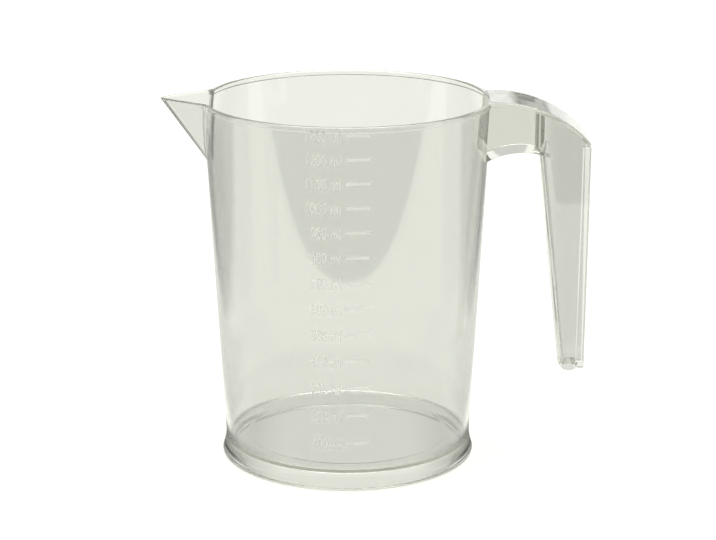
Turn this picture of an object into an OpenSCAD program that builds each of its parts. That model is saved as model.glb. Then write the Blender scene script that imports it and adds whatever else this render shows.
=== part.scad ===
// Clear plastic measuring jug: a conical vessel on a low foot, a pointed spout at -X, a hook handle at +X
// and a raised scale in millilitres on the front, at -Y. Millimetres, +Z up. The origin is on the vessel's
// axis, in the plane of the table.

/* [Vessel] */
// Height from the table to the rim
height = 153.4; // [130:0.2:180]
// Outer diameter of the wall at the rim
rim_d = 119.4; // [112:0.2:140]
// Outer diameter of the wall at floor level
floor_d = 103.8; // [90:0.2:110]
// Thickness of the wall
wall_t = 1.7; // [1.2:0.1:2.4]
// Height of the inside floor above the table
floor_z = 8.2; // [6:0.1:12]
// Thickness of the floor
floor_t = 1.5; // [1:0.1:3]
// Radius of the inside corner between wall and floor
corner_r = 1.2; // [0.6:0.1:3]
// Width of the flat border round the raised middle of the floor
border_w = 6.6; // [2:0.1:20]
// Rise of the middle of the floor
middle_rise = 0.2; // [0.2:0.1:1]

/* [Rim and foot] */
// Height of the band round the rim
band_h = 2.3; // [1:0.1:6]
// How far the band stands out from the wall
band_t = 0.5; // [0.2:0.1:1.5]
// How far the foot stands out from the line of the wall
foot_out = 2; // [0.5:0.1:4]
// Width of the foot's ring
foot_w = 4.5; // [2.5:0.1:10]
// Bend of the foot's flare: 1 is a straight slope, and more keeps the flare lower
foot_bend = 1.7; // [1:0.1:3]
// Chamfer round the foot's lower edge
foot_edge = 0.5; // [0.2:0.1:1.2]

/* [Spout] */
// How far the spout's tip stands out from the rim
spout_out = 17.2; // [10:0.1:25]
// Half the width of the spout where it leaves the rim
spout_half_w = 16.5; // [10:0.1:22]
// Depth of the spout's ridge below the rim where it meets the wall
spout_drop = 26.7; // [16:0.1:40]
// Thickness of the spout's sides
spout_t = 1.5; // [1:0.1:2.4]

/* [Handle] */
// How far the back edge of the handle stands out from the rim
handle_out = 40.4; // [34:0.2:50]
// Width of the roof
roof_w = 28; // [22:0.2:36]
// Thickness of the roof
roof_t = 1.8; // [1.2:0.1:3]
// Radius of the roof's bend
roof_r = 50; // [46:0.5:70]
// Flat run of the roof before it bends
roof_flat = 2.6; // [1:0.1:6]
// Overhang of the roof past the bridge
roof_lap = 0.5; // [0.2:0.1:1.5]
// Height of the bridge at the crown of the arch below it
bridge_h = 20.9; // [16:0.1:26]
// Radius of the arch below the bridge
arch_r = 30; // [24:0.5:40]
// Distance of the arch's crown from the rim
arch_out = 12.3; // [9:0.1:14]

/* [Grip] */
// Distance of the grip's inner face from the rim, at the crown of the arch
grip_out = 19.4; // [17.5:0.1:22]
// Length of the grip below the crown of the arch
grip_len = 96.2; // [70:0.1:110]
// Depth of the grip at its lower end
grip_end_d = 8.3; // [7:0.1:14]
// Radius of the grip's round lower end
grip_end_r = 5.1; // [4.5:0.1:8]
// Thickness of the closed lower end
grip_end_t = 2.6; // [2.2:0.1:5]
// Width of the grip at its lower end
grip_end_w = 13; // [10:0.2:20]
// Thickness of the grip's wall
grip_t = 1.8; // [1.2:0.1:2.6]
// Distance from the rim to the end of the grip's hollow inside the bridge
hollow_out = 17.5; // [14:0.1:19]
// Corner radius of the hollow inside the bridge
hollow_corner = 5.5; // [3:0.1:8]
// Thickness between the hollow inside the bridge and the arch
hollow_floor = 1.2; // [0.8:0.1:3]
// Corner radius of the grip at the bridge
grip_top_corner = 5.5; // [4:0.1:8]
// Corner radius of the grip at its lower end
grip_end_corner = 3.2; // [2.8:0.1:4.5]
// Thickness of the lips along the grip's outer edges
lip_t = 2.4; // [0.6:0.1:3]
// Width of the lips
lip_w = 2.6; // [2:0.1:4]
// How far the lips stop above the lower end of the grip
lip_short = 1.1; // [0.5:0.1:3]

/* [Scale] */
// Volume between two marks, in millilitres
mark_ml = 100; // [50:50:200]
// Length of a mark along the wall
mark_w = 10; // [4:0.5:16]
// Height of a mark
mark_h = 1.2; // [0.6:0.1:2]
// How far a mark stands out from the wall
mark_t = 0.3; // [0.2:0.05:0.8]
// Turn of the marks' middle from the front, towards the handle
mark_turn = 4.2; // [-10:0.1:20]

/* [Hidden] */
$fn = 128;
clear_plastic = [0.86, 0.88, 0.82, 0.5];
frosted_plastic = [0.93, 0.94, 0.91, 0.8];

// Length past a solid that a cutting shape reaches, and the thickness of a section that a hull starts from
past = 1;
slice = 0.01;
// Sides of a rounded corner in a hull, and steps of the foot's flare
corner_fn = 32;
flare_steps = 8;
// Cubic millimetres in a millilitre
ml = 1000;

// Radii and levels of the vessel
rim_r = rim_d / 2;
floor_r = floor_d / 2;
flare = (rim_r - floor_r) / (height - floor_z);
under_z = floor_z - floor_t;
wall_z = floor_z + corner_r;
band_z = height - band_h;
foot_r = base_r(foot_edge);
inside_r = wall_r(wall_z) - wall_t;
plate_r = inside_r - corner_r;
middle_r = plate_r - border_w;

// Spout: the ridge's slope and length, and half the angle between the sides, square to the ridge
tip_x = rim_r + spout_out;
root_x = sqrt(rim_r * rim_r - spout_half_w * spout_half_w);
ridge_run = tip_x - wall_r(height - spout_drop);
ridge_slope = atan2(spout_drop, ridge_run);
side_angle = atan2(spout_half_w / (tip_x - root_x), sin(ridge_slope));

// Handle: the bend's centre, the crown of the arch, and the grip's line, end and hollow
back_x = rim_r + handle_out;
lip_x = back_x - lip_t;
bend_x = rim_r + roof_flat;
bend_z = height - roof_r;
crown_z = height - bridge_h;
bridge_half_w = roof_w / 2 - roof_lap;
grip_x = rim_r + grip_out;
grip_bottom = crown_z - grip_len;
end_x = lip_x - grip_end_d / 2;
end_z = grip_bottom + grip_end_r;
hollow_x = rim_r + hollow_out;
hollow_half_w = bridge_half_w - grip_t;

// Outer radius of the wall at a height
function wall_r(z) = floor_r + flare * (z - floor_z);

// Outer radius of the base at a height below the wall: the wall's line and a flare that grows towards the foot
function base_r(z) = wall_r(z) + foot_out * pow((wall_z - z) / (wall_z - foot_edge), foot_bend);
function flare_points(low, high) =
    [for (i = [0 : flare_steps]) let (z = low + (high - low) * i / flare_steps) [base_r(z), z]];

// Volume inside the vessel up to a height, in cubic millimetres: a cone's frustum
function volume(z) = PI / (3 * flare) * (pow(wall_r(z) - wall_t, 3) - pow(floor_r - wall_t, 3));

// Height at which the vessel holds a volume
function level(v) =
    floor_z + (pow(3 * flare * v / PI + pow(floor_r - wall_t, 3), 1 / 3) - floor_r + wall_t) / flare;

// Share of the way down the grip, from 0 at the arch's crown to 1 at the centre of the round end
function down(z) = max(0, (crown_z - z) / (crown_z - end_z));
function grip_face_x(z) = grip_x + (lip_x - grip_end_d - grip_x) * down(z);
function grip_half_w(z) = bridge_half_w + (grip_end_w / 2 - bridge_half_w) * down(z);
function grip_corner(z) = grip_top_corner + (grip_end_corner - grip_top_corner) * down(z);

// Everything inside the vessel's outer surface, band included
module vessel_outside() {
    rotate_extrude()
        polygon([
            [0, under_z], [wall_r(under_z), under_z], [wall_r(band_z), band_z], [wall_r(band_z) + band_t, band_z],
            [rim_r + band_t, height], [rim_r + band_t, height + past], [0, height + past]
        ]);
}

// The space between the spout's two sides, drawn in by a thickness: a wedge along the ridge, from the tip to
// just inside the wall
module spout_wedge(thickness) {
    long = height;
    inner = thickness / sin(side_angle);
    intersection() {
        translate([-tip_x, 0, height])
            rotate([0, 90 + ridge_slope, 0])
                linear_extrude(2 * long, center = true)
                    polygon([
                        [-inner, 0],
                        [-long, (long - inner) * tan(side_angle)],
                        [-long, -(long - inner) * tan(side_angle)]
                    ]);
        translate([-tip_x, -rim_r, 0])
            cube([tip_x - root_x + spout_half_w / 2, rim_d, height + past]);
    }
}

module vessel_wall() {
    color(clear_plastic)
        difference() {
            rotate_extrude()
                polygon([
                    [inside_r, wall_z], [wall_r(wall_z), wall_z], [rim_r, height], [rim_r - wall_t, height]
                ]);
            spout_wedge(spout_t);
        }
}

module floor_corner() {
    color(clear_plastic)
        rotate_extrude()
            difference() {
                polygon(concat([[plate_r, under_z]], flare_points(under_z, wall_z), [[plate_r, wall_z]]));
                translate([plate_r, wall_z])
                    circle(corner_r);
            }
}

module floor_plate() {
    color(clear_plastic)
        rotate_extrude()
            polygon([
                [0, under_z], [plate_r, under_z], [plate_r, floor_z], [middle_r, floor_z],
                [middle_r - middle_rise, floor_z + middle_rise], [0, floor_z + middle_rise]
            ]);
}

module foot_ring() {
    color(clear_plastic)
        rotate_extrude()
            polygon(concat(
                [[foot_r - foot_w, 0], [foot_r - foot_edge, 0]],
                flare_points(foot_edge, under_z),
                [[foot_r - foot_w, under_z]]
            ));
}

module rim_band() {
    color(clear_plastic)
        difference() {
            rotate_extrude()
                polygon([
                    [wall_r(band_z), band_z], [wall_r(band_z) + band_t, band_z],
                    [rim_r + band_t, height], [rim_r, height]
                ]);
            spout_wedge(spout_t);
        }
}

// One flat side of the spout: side is -1 for the front and 1 for the back
module spout_side(side) {
    color(clear_plastic)
        intersection() {
            difference() {
                spout_wedge(0);
                spout_wedge(spout_t);
                vessel_outside();
            }
            translate([-tip_x, side < 0 ? -rim_r : 0, 0])
                cube([tip_x, rim_r, height]);
        }
}

module spout_side_front() {
    spout_side(-1);
}

module spout_side_back() {
    spout_side(1);
}

// Side view of all that lies under the handle's roof, as far out as the given reach
module under_roof(reach, roof) {
    intersection() {
        union() {
            translate([bend_x, bend_z])
                circle(roof_r - roof);
            square([reach, bend_z]);
            square([bend_x, height - roof]);
        }
        square([reach, height]);
    }
}

// A side view carried across the handle, from one value of Y to another
module across(y_low, y_high) {
    translate([0, y_high, 0])
        rotate([90, 0, 0])
            linear_extrude(y_high - y_low)
                children();
}

// The circle of the arch below the bridge, made larger by a thickness
module arch(more) {
    translate([rim_r + arch_out, crown_z - arch_r])
        circle(arch_r + more);
}

// The roof covers the bridge and the grip
module handle_roof() {
    color(clear_plastic)
        difference() {
            across(-roof_w / 2, roof_w / 2)
                difference() {
                    under_roof(back_x, 0);
                    under_roof(back_x + past, roof_t);
                }
            vessel_outside();
        }
}

// Outline of the grip at one height, drawn in by a thickness, out to a reach
module grip_slice(z, thickness, reach) {
    near = grip_face_x(z) + thickness;
    half = grip_half_w(z) - thickness;
    round = grip_corner(z) - thickness;
    translate([0, 0, z])
        linear_extrude(slice) {
            translate([near + round, -half])
                square([reach - near - round, 2 * half]);
            translate([near, round - half])
                square([reach - near, 2 * (half - round)]);
            for (side = [-1, 1])
                translate([near + round, side * (half - round)])
                    circle(round, $fn = corner_fn);
        }
}

// The grip as a full body, drawn in by a thickness: straight in width at the bridge, tapered below it
module grip_body(thickness, reach) {
    hull() {
        grip_slice(height, thickness, reach);
        grip_slice(crown_z, thickness, reach);
    }
    hull() {
        grip_slice(crown_z, thickness, reach);
        grip_slice(grip_bottom - past, thickness, reach);
    }
}

// The hollow of the grip, closed at its lower end
module grip_hollow() {
    intersection() {
        grip_body(grip_t, back_x + past);
        across(-roof_w, roof_w)
            translate([0, grip_bottom + grip_end_t])
                square([back_x + 2 * past, height]);
    }
}

// The part of the hollow that reaches into the bridge, with two round corners, above the arch
module bridge_hollow() {
    intersection() {
        translate([0, 0, crown_z - arch_r])
            linear_extrude(height)
                hull() {
                    translate([back_x, -hollow_half_w])
                        square([past, 2 * hollow_half_w]);
                    for (side = [-1, 1])
                        translate([hollow_x + hollow_corner, side * (hollow_half_w - hollow_corner)])
                            circle(hollow_corner);
                }
        across(-roof_w, roof_w)
            difference() {
                translate([0, crown_z - hollow_floor])
                    square([back_x + past, height]);
                arch(hollow_floor);
            }
    }
}

module grip_channel() {
    color(clear_plastic)
        intersection() {
            difference() {
                grip_body(0, back_x);
                grip_hollow();
                bridge_hollow();
            }
            across(-roof_w, roof_w)
                intersection() {
                    under_roof(lip_x, roof_t);
                    union() {
                        translate([0, end_z])
                            square([lip_x, height]);
                        translate([end_x, end_z])
                            circle(grip_end_r);
                    }
                }
        }
}

// The solid bridge from the vessel to the grip's round corners, with the arch below it
module bridge_block() {
    color(clear_plastic)
        difference() {
            across(-bridge_half_w, bridge_half_w)
                difference() {
                    under_roof(grip_x + grip_top_corner, roof_t);
                    square([back_x, crown_z - arch_r]);
                    arch(0);
                }
            vessel_outside();
            grip_body(0, back_x);
            bridge_hollow();
        }
}

// A short block of one lip at one height
module lip_slice(z, side) {
    half = grip_half_w(z);
    translate([lip_x, side < 0 ? -half : half - lip_w, z])
        cube([lip_t, lip_w, slice]);
}

// One lip along the outer edge of the grip: side is -1 for the front and 1 for the back
module grip_lip(side) {
    color(clear_plastic)
        intersection() {
            union() {
                hull() {
                    lip_slice(height, side);
                    lip_slice(crown_z, side);
                }
                hull() {
                    lip_slice(crown_z, side);
                    lip_slice(grip_bottom + lip_short, side);
                }
            }
            across(-roof_w, roof_w)
                under_roof(back_x, roof_t);
        }
}

module grip_lip_front() {
    grip_lip(-1);
}

module grip_lip_back() {
    grip_lip(1);
}

module scale_marks() {
    marks = floor(volume(band_z - mark_h) / (mark_ml * ml));
    color(frosted_plastic)
        for (n = [1 : marks]) {
            low = level(n * mark_ml * ml) - mark_h / 2;
            high = low + mark_h;
            turn = mark_w / wall_r(low) * 180 / PI;
            rotate([0, 0, mark_turn - 90 - turn / 2])
                rotate_extrude(angle = turn)
                    polygon([
                        [wall_r(low), low], [wall_r(low) + mark_t, low],
                        [wall_r(high) + mark_t, high], [wall_r(high), high]
                    ]);
        }
}

vessel_wall();
floor_corner();
floor_plate();
foot_ring();
rim_band();
spout_side_front();
spout_side_back();
handle_roof();
bridge_block();
grip_channel();
grip_lip_front();
grip_lip_back();
scale_marks();
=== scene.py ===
# %% [markdown]
# A clear plastic measuring jug, dressed for a studio picture. The real jug is one moulding: a slightly
# conical vessel on a low foot, a pointed spout, a hook handle and a raised scale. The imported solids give
# every size and place. This lesson replaces them by smooth surfaces that refract as a moulding does.

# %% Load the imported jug
import math

import bpy
import numpy as np
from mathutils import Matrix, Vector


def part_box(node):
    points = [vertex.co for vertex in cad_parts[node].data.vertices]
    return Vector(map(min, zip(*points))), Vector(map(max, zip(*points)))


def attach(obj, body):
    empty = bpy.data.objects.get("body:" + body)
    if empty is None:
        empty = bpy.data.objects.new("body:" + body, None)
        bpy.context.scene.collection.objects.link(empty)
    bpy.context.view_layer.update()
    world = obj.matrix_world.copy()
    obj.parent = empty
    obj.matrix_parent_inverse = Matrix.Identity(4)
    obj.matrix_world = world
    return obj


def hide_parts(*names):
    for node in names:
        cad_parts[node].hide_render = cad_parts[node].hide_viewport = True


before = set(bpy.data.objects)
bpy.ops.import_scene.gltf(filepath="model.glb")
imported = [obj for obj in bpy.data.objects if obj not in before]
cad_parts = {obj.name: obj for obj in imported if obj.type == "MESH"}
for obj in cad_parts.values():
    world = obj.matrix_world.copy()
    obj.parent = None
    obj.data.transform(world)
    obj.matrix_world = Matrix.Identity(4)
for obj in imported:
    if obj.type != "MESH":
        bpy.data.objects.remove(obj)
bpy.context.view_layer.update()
MM = 0.001

# %% [markdown]
# Every surface below starts from the frame. A node's box gives its reach, and the farthest point of a
# node at one height gives the radius of a round one there. Wall thicknesses can't be read from a box, so
# they are named here.


# %% Read the driving sizes
def radius_at(node, z):
    """The largest distance from the jug's axis among a node's points at one height."""
    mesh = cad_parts[node].data
    points = np.empty(len(mesh.vertices) * 3)
    mesh.vertices.foreach_get("co", points)
    points = points.reshape(-1, 3)
    level = points[np.abs(points[:, 2] - z) < 0.01 * MM]
    return float(np.hypot(level[:, 0], level[:, 1]).max())


wall_low, wall_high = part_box("vessel_wall")
band_low, band_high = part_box("rim_band")
grip_low, grip_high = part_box("grip_channel")
under_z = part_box("floor_corner")[0].z
foot_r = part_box("foot_ring")[1].y
spout_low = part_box("spout_side_back")[0]
roof_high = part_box("handle_roof")[1]
bridge_half_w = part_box("bridge_block")[1].y
lip_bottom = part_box("grip_lip_back")[0].z

height, wall_z, band_z = wall_high.z, wall_low.z, band_low.z
rim_r = radius_at("vessel_wall", height)
base_r = radius_at("vessel_wall", wall_z)
flare = (rim_r - base_r) / (height - wall_z)
band_t = band_high.y - rim_r
wall_t = 1.7 * MM
corner_r = 1.2 * MM
middle_rise = 0.12 * MM
floor_z = wall_z - corner_r
border_w = 6.6 * MM
print("rim radius, flare:", round(rim_r / MM, 2), round(flare, 4))


def wall_r(z):
    """The cone's outer radius, which grows evenly from the floor to the rim."""
    return base_r + flare * (z - wall_z)


# %% [markdown]
# The camera stands in front of the jug and a little above it, with a long lens, so that the rim is a
# shallow oval. Its place, tilt and lens come from the rim, the foot and the marks of the scale as they
# lie in the picture.

# %% Camera
eye = (0, -921 * MM, 341.7 * MM)
tilt_down = math.radians(15.92)
turn_right = math.radians(0.276)
lens = bpy.data.cameras.new("front_camera")
lens.sensor_width = 36
lens.lens = 114.17
lens.clip_start = 0.01
camera = bpy.data.objects.new("front_camera", lens)
camera.location = eye
camera.rotation_euler = (math.pi / 2 - tilt_down, 0, -turn_right)
bpy.context.scene.collection.objects.link(camera)
bpy.context.scene.camera = camera
print("camera at", [round(v, 3) for v in eye])

# %% [markdown]
# A mesh is made from whole arrays of points and faces. A sheet is a grid of points, so its faces follow
# from the grid's size alone: each cell is four neighbours, and a closed grid also joins its last column
# to its first.


# %% Mesh helpers
def sheet_faces(rows, columns, closed):
    """Cell (i, j) joins the points (i, j), (i, j+1), (i+1, j+1) and (i+1, j)."""
    i = np.arange(rows - 1)[:, None]
    j = np.arange(columns if closed else columns - 1)[None, :]
    k = (j + 1) % columns
    here, above = i * columns, (i + 1) * columns
    return np.stack([here + j, here + k, above + k, above + j], -1).reshape(-1, 4)


def make_piece(name, points, faces, material=None):
    """An object at the origin whose place is in its mesh."""
    mesh = bpy.data.meshes.new(name)
    mesh.from_pydata(np.asarray(points).tolist(), [], [list(map(int, f)) for f in faces])
    mesh.validate()
    piece = bpy.data.objects.new(name, mesh)
    bpy.context.scene.collection.objects.link(piece)
    if material:
        mesh.materials.append(material)
    return piece


def finished(piece):
    """The piece's mesh with its modifiers applied, in a new object."""
    seen = piece.evaluated_get(bpy.context.evaluated_depsgraph_get())
    mesh = bpy.data.meshes.new_from_object(seen)
    name = piece.name
    bpy.data.objects.remove(piece)
    whole = bpy.data.objects.new(name, mesh)
    bpy.context.scene.collection.objects.link(whole)
    return whole


def smooth(piece, angle):
    """Smooth shading that keeps the edges that turn by more than an angle."""
    piece.data.shade_smooth()
    piece.data.set_sharp_from_angle(angle=math.radians(angle))
    weigh = piece.modifiers.new("flat faces first", "WEIGHTED_NORMAL")
    weigh.keep_sharp = True
    weigh.weight = 100


def smoothstep(low, high, x):
    """0 below low, 1 above high, and an even S between them."""
    t = np.clip((x - low) / (high - low), 0, 1)
    return t * t * (3 - 2 * t)


print("mesh helpers are ready")

# %% [markdown]
# Materials and lights are small graphs of nodes. Most of their steps are the same few: the place of a
# point, a soft ramp, which is how one tone runs into the next on a real thing, and one step of
# arithmetic.


# %% Node helpers
def axes_of(tree, kind):
    """X, Y and Z of the point that is shaded, or of the way that is looked at in the sky."""
    place = tree.nodes.new("ShaderNodeTexCoord")
    axes = tree.nodes.new("ShaderNodeSeparateXYZ")
    tree.links.new(place.outputs[kind], axes.inputs["Vector"])
    return [axes.outputs[name] for name in "XYZ"]


def ramp_of(tree, value, low, high, start, end):
    """A soft change of a value from start, below low, to end, above high."""
    node = tree.nodes.new("ShaderNodeMapRange")
    node.interpolation_type = "SMOOTHSTEP"
    for socket, number in zip(("From Min", "From Max", "To Min", "To Max"), (low, high, start, end)):
        node.inputs[socket].default_value = number
    tree.links.new(value, node.inputs["Value"])
    return node.outputs["Result"]


def worked_out(tree, how, *values):
    """One step of arithmetic on a value, or the same step on each further value in turn."""
    result = values[0]
    for other in values[1:] or (None,):
        node = tree.nodes.new("ShaderNodeMath")
        node.operation = how
        tree.links.new(result, node.inputs[0])
        if other is not None:
            tree.links.new(other, node.inputs[1])
        result = node.outputs["Value"]
    return result


def from_axis_of(tree, x, y):
    """Distance from the jug's axis: the root of x squared plus y squared."""
    squares = [worked_out(tree, "MULTIPLY", value, value) for value in (x, y)]
    return worked_out(tree, "SQRT", worked_out(tree, "ADD", *squares))


print("node helpers are ready")

# %% [markdown]
# The plastic is clear styrene with a faint green-grey tint, which shows where a ray runs far through it:
# along the rim, in the edges and in the foot. So the tint is a volume that takes light by distance. A
# moulding also scatters a little of the light that enters it. Scatter in a volume is slow to trace, so a
# faint even glow inside the plastic, painted light, stands for it. The grip shows darker than the rest,
# so its surface colour is darkened a little there, a painted shade. Roughness varies from place to place,
# because a moulding is never perfectly even. The scale's frosted plastic bends light hardly at all and
# is partly white, which keeps it faint.

# %% Clear moulded plastic
tint_colour, tint_density = (0.40, 0.42, 0.33), 24
painted_haze_glow_colour, painted_haze_glow_strength = (1, 1, 0.93), 4
# Painted shade: the surface colour is darkened by this factor towards the grip, from grip_from to grip_to
# along x.
grip_painted_shade_factor, grip_from, grip_to = 0.93, 78 * MM, 90 * MM
cloud_scale, cloud_detail, cloud_low, cloud_high = 60, 3, 0.3, 0.7


def add_tint(tree):
    """Volume inside the plastic: absorption by distance, plus an even painted glow that stands for light
    scattered by haze.
    """
    tint = tree.nodes.new("ShaderNodeVolumeAbsorption")
    tint.inputs["Color"].default_value = (*tint_colour, 1)
    tint.inputs["Density"].default_value = tint_density
    # Painted light: the plastic glows evenly from inside, standing for light that it scatters.
    painted_glow = tree.nodes.new("ShaderNodeEmission")
    painted_glow.inputs["Color"].default_value = (*painted_haze_glow_colour, 1)
    painted_glow.inputs["Strength"].default_value = painted_haze_glow_strength
    inside = tree.nodes.new("ShaderNodeAddShader")
    tree.links.new(tint.outputs["Volume"], inside.inputs[0])
    tree.links.new(painted_glow.outputs["Emission"], inside.inputs[1])
    tree.links.new(inside.outputs["Shader"], tree.nodes["Material Output"].inputs["Volume"])


def clear_plastic(name, colour, rough_low, rough_high, bend, clearness):
    """Principled glass whose roughness follows noise in Object coordinates, with the tint inside it."""
    material = bpy.data.materials.new(name)
    material.use_nodes = True
    tree = material.node_tree
    surface = tree.nodes["Principled BSDF"]
    surface.inputs["Transmission Weight"].default_value = clearness
    surface.inputs["IOR"].default_value = bend
    # Painted shade: the base colour turns darker towards the grip along x.
    painted_grip_shade = tree.nodes.new("ShaderNodeMix")
    painted_grip_shade.data_type = "RGBA"
    painted_grip_shade.inputs["A"].default_value = (*colour, 1)
    painted_grip_shade.inputs["B"].default_value = (*(grip_painted_shade_factor * np.array(colour)), 1)
    x = axes_of(tree, "Object")[0]
    tree.links.new(ramp_of(tree, x, grip_from, grip_to, 0, 1), painted_grip_shade.inputs["Factor"])
    tree.links.new(painted_grip_shade.outputs["Result"], surface.inputs["Base Color"])
    place = tree.nodes.new("ShaderNodeTexCoord")
    cloud = tree.nodes.new("ShaderNodeTexNoise")
    cloud.inputs["Scale"].default_value = cloud_scale
    cloud.inputs["Detail"].default_value = cloud_detail
    tree.links.new(place.outputs["Object"], cloud.inputs["Vector"])
    spread = tree.nodes.new("ShaderNodeMapRange")
    limits = cloud_low, cloud_high, rough_low, rough_high
    for socket, number in zip(("From Min", "From Max", "To Min", "To Max"), limits):
        spread.inputs[socket].default_value = number
    tree.links.new(cloud.outputs["Fac"], spread.inputs["Value"])
    tree.links.new(spread.outputs["Result"], surface.inputs["Roughness"])
    add_tint(tree)
    return material


clear = clear_plastic("clear plastic", (0.812, 0.817, 0.80), 0.01, 0.04, 1.57, 1)
frosted = clear_plastic("frosted plastic", (0.95, 0.95, 0.93), 0.4, 0.6, 1.03, 0.66)
print("made", clear.name, "and", frosted.name)

# %% [markdown]
# The vessel is a profile carried once round the axis: under the floor, down and round the foot, up the
# wall, over the rim, down the inside and back to the axis. The spout could be joined on, but a seam would
# show in clear plastic. So the wall's radius is a formula of angle and height instead: the larger of the
# cone and of the two flat sides of the spout, with a soft step from one to the other.


# %% Vessel: the profile's fixed stretches
def arc(centre_r, centre_z, radius, start, end, count=9):
    """Points of a circle in the profile's plane between two angles, in degrees from outwards to up."""
    a = np.radians(np.linspace(start, end, count))
    return np.stack([centre_r + radius * np.cos(a), centre_z + radius * np.sin(a)], -1)


foot_in = foot_r - 4.5 * MM
foot_round = 1.2 * MM
in_round = 0.5 * MM
foot_top = 10 * MM
flare_h = 8.6 * MM
flare_bend = 1.7
rim_round = 1.0 * MM

under = np.array([[foot_in * t, under_z] for t in (0.25, 0.5, 0.75, 0.9)])
inner_foot = np.concatenate([
    arc(foot_in - in_round, under_z - in_round, in_round, 90, 0),
    arc(foot_in + in_round, in_round, in_round, 180, 270),
])
outer_foot = arc(foot_r - foot_round, foot_round, foot_round, -90, 0)
flare_z = np.linspace(foot_top - flare_h, foot_top, 14)
flare_out = foot_r - wall_r(foot_top - flare_h)
flare_r = wall_r(flare_z) + flare_out * ((foot_top - flare_z) / flare_h) ** flare_bend
lower = np.concatenate([under, inner_foot, outer_foot, np.stack([flare_r, flare_z], -1)])

plate_r = wall_r(floor_z + corner_r) - wall_t - corner_r
middle_r = plate_r - border_w
step_r = np.linspace(middle_r + 0.6 * MM, middle_r - 1.4 * MM, 9)
step_z = floor_z + middle_rise * smoothstep(0, 1, (step_r[0] - step_r) / (step_r[0] - step_r[-1]))
inner_floor = np.concatenate([
    arc(plate_r, floor_z + corner_r, corner_r, -3, -90),
    np.array([[plate_r - 0.5 * MM, floor_z], [plate_r - border_w / 2, floor_z]]),
    np.stack([step_r, step_z], -1),
    np.array([[middle_r * t, floor_z + middle_rise] for t in (0.95, 0.7, 0.4, 0.15)]),
])
print("fixed rows:", len(lower), len(inner_floor))

# %% [markdown]
# The spout's sides are planes that would meet a little beyond its blunt tip. In a level section each is a
# straight line, whose distance from the axis follows from the sine rule. Adding a small angle under a
# root rounds the ridge.

# %% Vessel: the wall and the spout
tip_x, ridge_foot_z = -spout_low.x + 0.45 * MM, spout_low.z
spout_half_w = 16.5 * MM
root_x = math.sqrt(rim_r ** 2 - spout_half_w ** 2)
ridge_lean = (tip_x - wall_r(ridge_foot_z)) / (height - ridge_foot_z)
spout_t = 1.7 * MM
nose_out, nose_in = 4.0 * MM, 2.8 * MM
soft_ridge, soft_root = 0.8 * MM, 1.2 * MM
half_angle = math.atan2(spout_half_w, tip_x + nose_out - root_x)
inner_apex = tip_x + nose_out - spout_t / math.sin(half_angle)


def spout_r(off, z, apex, nose):
    """Distance to a flat side: apex sin(half angle) / sin(angle + half angle), with a rounded angle."""
    ridge_round = math.asin(apex * math.sin(half_angle) / nose) - half_angle
    turn = np.minimum(np.sqrt(off ** 2 + ridge_round ** 2), np.radians(48))
    ridge = nose - ridge_lean * (height - z)
    return ridge * math.sin(half_angle + ridge_round) / np.sin(turn + half_angle)


def larger(a, b, soft):
    """The larger of two, with a rounded change: max + (soft - |a - b|)^2 / (4 soft) where they are near."""
    near = np.maximum(soft - np.abs(a - b), 0)
    return np.maximum(a, b) + near ** 2 / (4 * soft)


def vessel_r(off, z, inside):
    """Radius of the outside, or of the inside, at an angle from the spout and a height."""
    soft = soft_ridge + (soft_root - soft_ridge) * smoothstep(np.radians(3), np.radians(14), np.abs(off))
    band = band_t * smoothstep(band_z - 0.25 * MM, band_z + 0.25 * MM, z)
    if inside:
        return larger(wall_r(z) - wall_t, spout_r(off, z, inner_apex, inner_apex - nose_in), soft)
    return larger(wall_r(z) + band, spout_r(off, z, tip_x + nose_out, tip_x), soft)


across = np.linspace(-1, 1, 361)[:-1]
off = math.pi * (0.25 * across + 0.75 * across ** 3)
wall_up = np.concatenate([
    np.linspace(foot_top + 0.5 * MM, ridge_foot_z - 4 * MM, 12),
    np.linspace(ridge_foot_z - 3.5 * MM, band_z - 0.4 * MM, 50),
    np.linspace(band_z - 0.3 * MM, band_z + 0.3 * MM, 7),
    np.linspace(band_z + 0.5 * MM, height - rim_round - 0.2 * MM, 4),
])
round_off = np.radians(np.linspace(0, 90, 8))
rim_z = height - rim_round * (1 - np.sin(round_off))
rim_in = rim_round * (1 - np.cos(round_off))
wall_down = np.concatenate([
    np.linspace(height - rim_round - 0.2 * MM, ridge_foot_z - 5 * MM, 52),
    np.linspace(ridge_foot_z - 8 * MM, floor_z + corner_r + 0.3 * MM, 12),
])


def ring(profile):
    """Profile rows that are the same all round, as (radius, height) grids."""
    return np.repeat(profile[:, :1], len(off), 1), np.repeat(profile[:, 1:], len(off), 1)


def wall_rows(z, inset, inside):
    """Rows of the wall at given heights, drawn in from its face by an inset."""
    z, inset = z[:, None], inset[:, None]
    return vessel_r(off, z, inside) + (inset if inside else -inset), np.repeat(z, len(off), 1)


stretches = [
    ring(lower),
    wall_rows(wall_up, 0 * wall_up, False),
    wall_rows(rim_z, rim_in, False),
    wall_rows(rim_z[::-1], rim_in[::-1], True),
    wall_rows(wall_down, 0 * wall_down, True),
    ring(inner_floor),
]
radius = np.concatenate([s[0] for s in stretches])
level = np.concatenate([s[1] for s in stretches])
grid = np.stack([-radius * np.cos(off), -radius * np.sin(off), level], -1)
rows, columns = radius.shape
poles = np.array([[0, 0, under_z], [0, 0, floor_z + middle_rise]])
near_pole, next_to = rows * columns, (np.arange(columns) + 1) % columns
first = np.stack([np.full(columns, near_pole), next_to, np.arange(columns)], -1)
last_row = (rows - 1) * columns
last = np.stack([last_row + np.arange(columns), last_row + next_to, np.full(columns, near_pole + 1)], -1)
faces = [*sheet_faces(rows, columns, True), *first, *last]
vessel = make_piece("vessel", np.concatenate([grid.reshape(-1, 3), poles]), faces, clear)
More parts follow.
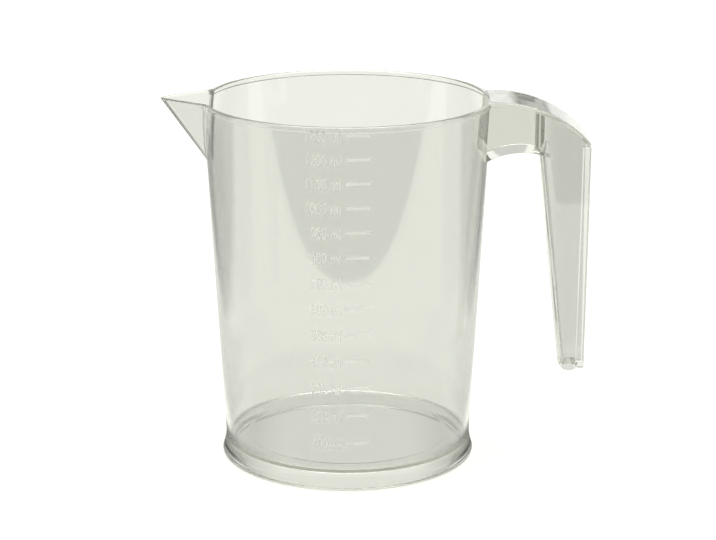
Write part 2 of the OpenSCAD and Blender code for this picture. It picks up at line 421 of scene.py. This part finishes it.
print("vessel:", len(vessel.data.polygons), "faces")

# %% [markdown]
# The handle is a hook: a roof over a solid bridge and over a grip, which is a trough that is open towards
# the back. Each is first a full body, and the grip's hollow, which reaches into the bridge, is then cut
# out as the mould's core does it. Bevels round the outer edges.


# %% Handle: bodies
def plate(name, points, thickness, edge):
    """Sheets of points, as rows x columns x 3, thickened away from their normals, with rounded edges."""
    rows, columns = points.shape[-3:-1]
    starts = np.arange(0, points.size // 3, rows * columns)[:, None, None]
    faces = (sheet_faces(rows, columns, False) + starts).reshape(-1, 4)
    piece = make_piece(name, points.reshape(-1, 3), faces)
    wall = piece.modifiers.new("thickness", "SOLIDIFY")
    wall.thickness = thickness
    wall.offset = -1
    wall.use_even_offset = True
    return rounded(piece, edge)


def rounded(piece, edge):
    """The piece with its sharp edges bevelled."""
    rounding = piece.modifiers.new("round edges", "BEVEL")
    rounding.width = edge
    rounding.segments = 3
    rounding.limit_method = "ANGLE"
    rounding.angle_limit = math.radians(50)
    return finished(piece)


def solid(name, points):
    """A closed body from rows of one outline, whose sides are alike, so strips across it close the ends."""
    rows, columns = points.shape[:2]
    i = np.arange(columns // 2 - 1)
    strips = np.stack([i, columns - 1 - i, columns - 2 - i, i + 1], -1)
    ends = [*strips, *((rows - 1) * columns + strips[:, ::-1])]
    return make_piece(name, points.reshape(-1, 3), [*sheet_faces(rows, columns, True), *ends])


roof_t = 1.8 * MM
edge_round = 0.5 * MM
back_x, lip_x = roof_high.x, grip_high.x
roof_r = 50 * MM
bend_x = rim_r + 2.6 * MM
roof_top = height - 0.02 * MM
bend_z = roof_top - roof_r
roof_half_w = roof_high.y
arch_r = 30 * MM
arch_x = rim_r + 12.3 * MM
crown_z = height - 20.9 * MM
start_x = rim_r - 5 * MM


def roof_z(x, depth):
    """Height of the roof at x, a depth below its outer face: level, then an arc."""
    bent = bend_z + np.sqrt((roof_r - depth) ** 2 - np.maximum(x - bend_x, 0) ** 2)
    return np.where(x < bend_x, roof_top - depth, bent)


def arch_z(x, more):
    """Height of the arch's circle at x, made larger by a thickness."""
    return crown_z - arch_r + np.sqrt((arch_r + more) ** 2 - (x - arch_x) ** 2)


run = np.concatenate([
    np.linspace(start_x, bend_x, 5)[:-1],
    bend_x + roof_r * np.sin(np.linspace(0, math.asin((back_x - bend_x) / roof_r), 40)),
])
roof_x, roof_y = np.meshgrid(run, np.linspace(-roof_half_w, roof_half_w, 15), indexing="ij")
roof = plate("roof", np.stack([roof_x, roof_y, roof_z(roof_x, 0)], -1)[:, ::-1], roof_t, edge_round)

bridge_x = np.linspace(start_x, grip_low.x + 5.4 * MM, 40)[:, None]
bridge_low = arch_z(bridge_x, 0)
bridge_z = bridge_low + (roof_z(bridge_x, roof_t / 2) - bridge_low) * np.linspace(0, 1, 12)
block_half_w = bridge_half_w - 0.03 * MM
block_round = 0.2 * MM
bridge_face = np.stack([bridge_x + 0 * bridge_z, block_half_w + 0 * bridge_z, bridge_z], -1)
bridge = plate("bridge", bridge_face, 2 * block_half_w, block_round)
print("roof and bridge:", len(roof.data.polygons), len(bridge.data.polygons))

# %% [markdown]
# The grip's plan is a U of two sides, two round corners and a face, and all shrink evenly on the way
# down. Each of its points is a share of the way along a side or the face, plus a place on a corner's
# circle. A smaller U, drawn in by the wall's thickness, is the hollow.

# %% Handle: grip and hollows
grip_t = 1.8 * MM
grip_bottom = grip_low.z
end_r = 5.1 * MM
end_t = 2.6 * MM
end_d = 8.3 * MM
end_z = grip_bottom + end_r
end_x = lip_x - end_d / 2
grip_x = rim_r + 19.4 * MM
end_half_w = 6.5 * MM
top_corner, end_corner = 5.5 * MM, 3.2 * MM

side_run = np.linspace(0, 1, 12)
turn = np.radians(np.linspace(0, 90, 12))
on_side, on_turn, on_face = 0 * side_run[:-1], 0 * turn, 2 * side_run[1:-1] - 1
share = np.concatenate([1 - side_run[:-1], on_turn, 0 * on_face, on_turn, side_run[1:]])
round_x = np.concatenate([on_side + 1, 1 - np.sin(turn), 0 * on_face, 1 - np.cos(turn), on_side + 1])
round_y = np.concatenate([on_side - 1, -np.cos(turn), 0 * on_face, np.sin(turn), on_side + 1])
middle = np.concatenate([on_side - 1, on_turn - 1, on_face, on_turn + 1, on_side + 1])


def grip_half_w(z):
    """Half the grip's width, even at the bridge and tapered below it."""
    return bridge_half_w + (end_half_w - bridge_half_w) * np.maximum((crown_z - z) / (crown_z - end_z), 0)


def grip_outline(z, inset, reach):
    """Plan points of the U at heights z, drawn in by an inset, out to a reach."""
    down = np.maximum((crown_z - z) / (crown_z - end_z), 0)
    corner = top_corner + (end_corner - top_corner) * down - inset
    face = grip_x + (lip_x - end_d - grip_x) * down + inset
    half = grip_half_w(z) - inset
    x = face + corner * round_x + share * (reach - face - corner)
    return x, (half - corner) * middle + corner * round_y


def grip_body(name, low, high, inset, reach):
    """Rows of the U between a lower and an upper height for each of its points."""
    z = low + (high - low) * np.linspace(0, 1, 60)[:, None]
    x, y = grip_outline(z, inset, reach)
    return solid(name, np.stack([x, y, z], -1)[:, ::-1])


flat_row = np.zeros((1, len(share)))
low_x = grip_outline(flat_row + end_z, 0, lip_x)[0]
high_x = grip_outline(flat_row + height - 4 * MM, 0, lip_x)[0]
round_end = end_z - np.sqrt(np.maximum(end_r ** 2 - (low_x - end_x) ** 2, 0))
grip = rounded(grip_body("grip", round_end, roof_z(high_x, roof_t / 2), 0, lip_x), edge_round)

hollow_reach = back_x + 5 * MM
hollow_x = grip_outline(flat_row + height - 5 * MM, grip_t, hollow_reach)[0]
hollow_top = roof_z(np.minimum(hollow_x, back_x + 3 * MM), roof_t - 0.02 * MM)
hollow = grip_body("hollow", flat_row + grip_bottom + end_t, hollow_top, grip_t, hollow_reach)

core_x = rim_r + 17.5 * MM
core_corner = 5.5 * MM
core_floor = 1.2 * MM
core_half_w = bridge_half_w - grip_t + 0.01 * MM
plan_x = core_x + core_corner * round_x + share * (hollow_reach - core_x - core_corner)
plan_y = (core_half_w - core_corner) * middle + core_corner * round_y
core_low = np.maximum(arch_z(np.minimum(plan_x, lip_x), core_floor), crown_z - core_floor)
core_high = roof_z(np.minimum(plan_x, back_x + 3 * MM), roof_t - 0.02 * MM)
core_z = core_low + (core_high - core_low) * np.linspace(0, 1, 20)[:, None]
core = solid("core", np.stack([plan_x + 0 * core_z, plan_y + 0 * core_z, core_z], -1)[:, ::-1])

lip_depth, lip_t, lip_proud = 1.2 * MM, 2.1 * MM, 0.05 * MM


def lip(side):
    """One lip's outer face, a strip along the grip's edge from its lower end to the roof."""
    z = np.linspace(lip_bottom, roof_z(np.array(back_x - 0.3 * MM), roof_t / 2), 50)[:, None]
    x = np.linspace(lip_x - lip_depth, back_x, 6)[None, :] + 0 * z
    points = np.stack([x, side * (grip_half_w(z) + lip_proud) + 0 * x, z + 0 * x], -1)
    return plate("lip", points if side < 0 else points[:, ::-1], lip_t, edge_round)


lips = [lip(-1), lip(1)]
print("grip and lips:", [len(p.data.polygons) for p in (grip, *lips)])

# %% [markdown]
# Booleans join the bodies, cut the hollows and trim the handle to half the depth of the wall. The last
# one joins it to the vessel, because the real jug is one moulding and no face may stay inside the clear
# plastic.


# %% Join the handle to the vessel
def combine(piece, other, how):
    """One Boolean step, done at once, and the other piece removed."""
    step = piece.modifiers.new(how, "BOOLEAN")
    step.operation = how
    step.solver = "EXACT"
    step.object = other
    whole = finished(piece)
    bpy.data.objects.remove(other)
    return whole


sunk = 0.6 * MM
plug_z = np.linspace(0.5 * height, 1.1 * height, 12)[:, None]
plug_off = np.radians(np.linspace(-30, 30, 121))
plug_r = wall_r(plug_z) - sunk
plug_points = np.stack([plug_r * np.cos(plug_off), plug_r * np.sin(plug_off), plug_z + 0 * plug_off], -1)
plug = plate("plug", plug_points, 12 * MM, 0.01 * MM)
handle = roof
for part, how in (
    (bridge, "UNION"), (grip, "UNION"), (hollow, "DIFFERENCE"), (core, "DIFFERENCE"),
    (lips[0], "UNION"), (lips[1], "UNION"), (plug, "DIFFERENCE"),
):
    handle = combine(handle, part, how)
    print("handle after", how.lower(), len(handle.data.polygons), "faces")
jug = combine(vessel, handle, "UNION")
jug.name = "jug"
jug.data.materials.clear()
jug.data.materials.append(clear)
jug.data.polygons.foreach_set("material_index", np.zeros(len(jug.data.polygons), np.int32))
smooth(jug, 40)
print("jug:", len(jug.data.polygons), "faces")

# %% [markdown]
# The scale stands out of the wall by a third of a millimetre, and the mould is a little rough there. A
# mark lies where the cone below it holds a whole number of 100 ml, so its height follows from the volume
# and not from a ruler.


# %% Scale: marks
def level_of(ml):
    """Height at which the vessel holds a volume: the frustum's formula, solved for its upper radius."""
    low_r = wall_r(floor_z) - wall_t
    return floor_z + ((3 * flare * ml * 1e-6 / math.pi + low_r ** 3) ** (1 / 3) - low_r) / flare


def on_wall(across, z, out):
    """Points on the front of the cone: a width along the wall becomes an angle from the front."""
    r = wall_r(z) + out
    return np.stack([r * np.sin(across / wall_r(z)), -r * np.cos(across / wall_r(z)), z + 0 * across], -1)


mark_w, mark_h, mark_out, mark_t, mark_round = 10 * MM, 1.2 * MM, 0.28 * MM, 0.25 * MM, 0.1 * MM
mark_middle = math.radians(4.2)
ml = 100 * np.arange(1, 14)
mark_z = level_of(ml)[:, None, None] + np.linspace(-0.5, 0.5, 3)[:, None] * mark_h
mark_x = mark_middle * wall_r(mark_z) + np.linspace(-0.5, 0.5, 13) * mark_w
mark_face = on_wall(mark_x, mark_z + 0 * mark_x, mark_out)
marks = plate("scale_marks_dressed", mark_face, mark_t, mark_round)
marks.data.materials.append(frosted)
print("marks:", len(marks.data.polygons), "faces")

# %% [markdown]
# The numerals could be cut into the mould with any plain letter. The built-in one is turned into a mesh
# first and then bent round the wall: its width becomes an angle and its height a height.

# %% Scale: numerals
digit_h, digit_share, narrow = 4.8 * MM, 0.7, 0.66
numeral_end, drop, numeral_out, half_depth = -2.4 * MM, 0.6 * MM, 0.2 * MM, 0.09 * MM


def numeral(volume):
    """Points on the wall and triangles of one label, which ends beside its mark."""
    curve = bpy.data.curves.new("numeral", "FONT")
    curve.body = f"{volume} ml"
    curve.align_x, curve.align_y = "RIGHT", "CENTER"
    curve.size, curve.extrude, curve.resolution_u = digit_h / digit_share, half_depth, 3
    letter = bpy.data.objects.new("numeral", curve)
    bpy.context.scene.collection.objects.link(letter)
    label = finished(letter)
    mesh = label.data
    mesh.calc_loop_triangles()
    flat = np.empty(len(mesh.vertices) * 3)
    mesh.vertices.foreach_get("co", flat)
    flat = flat.reshape(-1, 3)
    corners = np.empty(len(mesh.loop_triangles) * 3, np.int32)
    mesh.loop_triangles.foreach_get("vertices", corners)
    bpy.data.objects.remove(label)
    across, up, out = narrow * flat[:, 0] + numeral_end, flat[:, 1] - drop, flat[:, 2] - half_depth
    return on_wall(across, level_of(volume) + up, numeral_out + out), corners.reshape(-1, 3)


labels = [numeral(volume) for volume in ml]
starts = np.cumsum([0] + [len(points) for points, _ in labels[:-1]])
label_points = np.concatenate([points for points, _ in labels])
label_faces = np.concatenate([start + corners for start, (_, corners) in zip(starts, labels)])
numerals = make_piece("scale_numerals", label_points, label_faces, frosted)
print("numerals:", len(numerals.data.polygons), "faces")

# %% [markdown]
# The floor is a plain pale sheet, a hair below the foot so that no two faces lie in one plane. A lit
# table sends light up into a clear jug, so the sheet glows: fully round the jug and under its middle.
# Under the ends of the foot the glow is turned down, a painted shade where the jug would shade it.


# %% Floor
def level_sheet(name, reach, z, material):
    """A level square, as far out as a reach on each side."""
    corners = [(-reach, -reach, z), (reach, -reach, z), (reach, reach, z), (-reach, reach, z)]
    return make_piece(name, corners, [(0, 1, 2, 3)], material)


def pale_floor():
    """Matt grey that glows, with a painted shade under the ends of the foot."""
    material = bpy.data.materials.new("pale floor")
    material.use_nodes = True
    tree = material.node_tree
    surface = tree.nodes["Principled BSDF"]
    surface.inputs["Base Color"].default_value = (0.13, 0.13, 0.13, 1)
    surface.inputs["Roughness"].default_value = 0.9
    surface.inputs["Specular IOR Level"].default_value = 0
    surface.inputs["Emission Color"].default_value = (1, 1.01, 0.93, 1)
    x, y, _ = axes_of(tree, "Object")
    # Painted shade: less glow under the ends of the foot, inside the foot's radius.
    ends = ramp_of(tree, worked_out(tree, "ABSOLUTE", x), 25 * MM, 48 * MM, 0.9, 0.55)
    around = ramp_of(tree, from_axis_of(tree, x, y), 51 * MM, 53 * MM, 0, 0.9)
    tree.links.new(worked_out(tree, "MAXIMUM", ends, around), surface.inputs["Emission Strength"])
    return material


floor_reach, floor_drop = 6.0, 0.1 * MM
floor = level_sheet("floor", floor_reach, -floor_drop, pale_floor())
print("floor reaches", floor_reach, "m")

# %% [markdown]
# The studio is a soft sky: brightest overhead, with a narrow lamp across the top, and a lit backdrop low
# behind the jug. The backdrop has a dim band, which the clear walls bend into their soft edges.


# %% Sky
def studio_sky():
    """Strength by direction: overhead light, plus a low backdrop behind the jug, plus a narrow lamp."""
    sky = bpy.data.worlds.new("studio")
    sky.use_nodes = True
    tree = sky.node_tree
    background = tree.nodes["Background"]
    background.inputs["Color"].default_value = (1, 1, 0.985, 1)
    _, y, z = axes_of(tree, "Generated")
    overhead = ramp_of(tree, z, 0.5, 0.97, 0.27, 2.5)
    table_end = ramp_of(tree, z, 0.05, 0.085, 0.8, 0.15)
    wall = worked_out(tree, "MAXIMUM", table_end, ramp_of(tree, z, 0.165, 0.19, 0.15, 1.45))
    wall_top = ramp_of(tree, z, 0.206, 0.214, 1.0, 0.55)
    behind = ramp_of(tree, y, 0.2, 0.6, 0, 1)
    backdrop = worked_out(tree, "MULTIPLY", wall, wall_top, behind)
    lamp_up = ramp_of(tree, z, 0.84, 0.92, 0, 5)
    lamp_width = ramp_of(tree, worked_out(tree, "ABSOLUTE", y), 0.12, 0.28, 1, 0)
    lamp = worked_out(tree, "MULTIPLY", lamp_up, lamp_width)
    tree.links.new(worked_out(tree, "ADD", overhead, backdrop, lamp), background.inputs["Strength"])
    return sky


bpy.context.scene.world = studio_sky()
print("sky:", bpy.context.scene.world.name)

# %% [markdown]
# Photographers give clear things an outline with dark cards that the gloss mirrors. A real card would
# also dim the light, so this one is kept to the mirror: it shows only to a ray that has been mirrored
# once, and casts no shade, so its dark is a painted reflection. One stretch lies in front of the jug, and
# on each side there are a far one, a close one and a small one at the end of the foot.


# %% Dark card
def painted_reflection_dark(tree):
    """How dark the card is at each place: the strongest of its stretches."""
    x, y, _ = axes_of(tree, "Object")
    off_x = worked_out(tree, "ABSOLUTE", x)
    front = ramp_of(tree, y, -275 * MM, -265 * MM, 1, 0)
    near = ramp_of(tree, y, 550 * MM, 750 * MM, 1, 0)
    far_beside = worked_out(
        tree, "MULTIPLY", ramp_of(tree, off_x, 100 * MM, 220 * MM, 0, 0.9),
        ramp_of(tree, y, 50 * MM, 140 * MM, 0, 1), near,
    )
    foot_ends = worked_out(
        tree, "MULTIPLY", ramp_of(tree, off_x, 40 * MM, 52 * MM, 0, 0.95),
        ramp_of(tree, from_axis_of(tree, x, y), 60 * MM, 72 * MM, 1, 0),
    )
    close_beside = worked_out(
        tree, "MULTIPLY", ramp_of(tree, off_x, 65 * MM, 90 * MM, 0, 0.4),
        ramp_of(tree, off_x, 170 * MM, 200 * MM, 1, 0), ramp_of(tree, y, -20 * MM, 40 * MM, 0, 1), near,
    )
    return worked_out(tree, "MAXIMUM", front, far_beside, foot_ends, close_beside)


def card_paint():
    """Near black where the card is dark and a ray was mirrored once, and fully clear elsewhere."""
    material = bpy.data.materials.new("dark flag")
    material.use_nodes = True
    tree = material.node_tree
    dark = tree.nodes["Principled BSDF"]
    dark.inputs["Base Color"].default_value = (0.02, 0.02, 0.02, 1)
    path = tree.nodes.new("ShaderNodeLightPath")
    mirrored = worked_out(tree, "COMPARE", path.outputs["Glossy Depth"])
    mirrored.node.inputs[1].default_value = 1
    gone = tree.nodes.new("ShaderNodeBsdfTransparent")
    pick = tree.nodes.new("ShaderNodeMixShader")
    # Painted reflection: the card darkens only rays that have been mirrored once.
    tree.links.new(worked_out(tree, "MULTIPLY", painted_reflection_dark(tree), mirrored), pick.inputs["Fac"])
    tree.links.new(gone.outputs["BSDF"], pick.inputs[1])
    tree.links.new(dark.outputs["BSDF"], pick.inputs[2])
    tree.links.new(pick.outputs["Shader"], tree.nodes["Material Output"].inputs["Surface"])
    return material


card_reach, card_z = 3.0, 1 * MM
flag = level_sheet("dark_flag", card_reach, card_z, card_paint())
flag.visible_camera = flag.visible_diffuse = flag.visible_shadow = False
print("card lies", card_z / MM, "mm above the floor")

# %% [markdown]
# A ray in clear plastic crosses many faces before it leaves: two for each wall, and more along the rim
# and the foot. With few bounces those places turn black, so the limits are high. The plain view keeps
# white paper white.

# %% Bounces and view
scene = bpy.context.scene
many_bounces = 128
scene.cycles.max_bounces = many_bounces
scene.cycles.transmission_bounces = many_bounces
scene.cycles.glossy_bounces = many_bounces
scene.cycles.transparent_max_bounces = 16
scene.view_settings.view_transform = "Standard"
print("bounces:", scene.cycles.max_bounces)

# %% [markdown]
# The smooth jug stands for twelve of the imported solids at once, and the marks for the thirteenth. The
# numerals are extra. All of them move with the one rigid body.

# %% Dress the frame
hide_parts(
    "vessel_wall", "floor_corner", "floor_plate", "foot_ring", "rim_band",
    "spout_side_front", "spout_side_back", "handle_roof",
    "bridge_block", "grip_channel", "grip_lip_front", "grip_lip_back",
)
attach(jug, "root")
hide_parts("scale_marks")
for piece in (marks, numerals):
    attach(piece, "root")
print("dressed:", jug.name, marks.name, numerals.name)
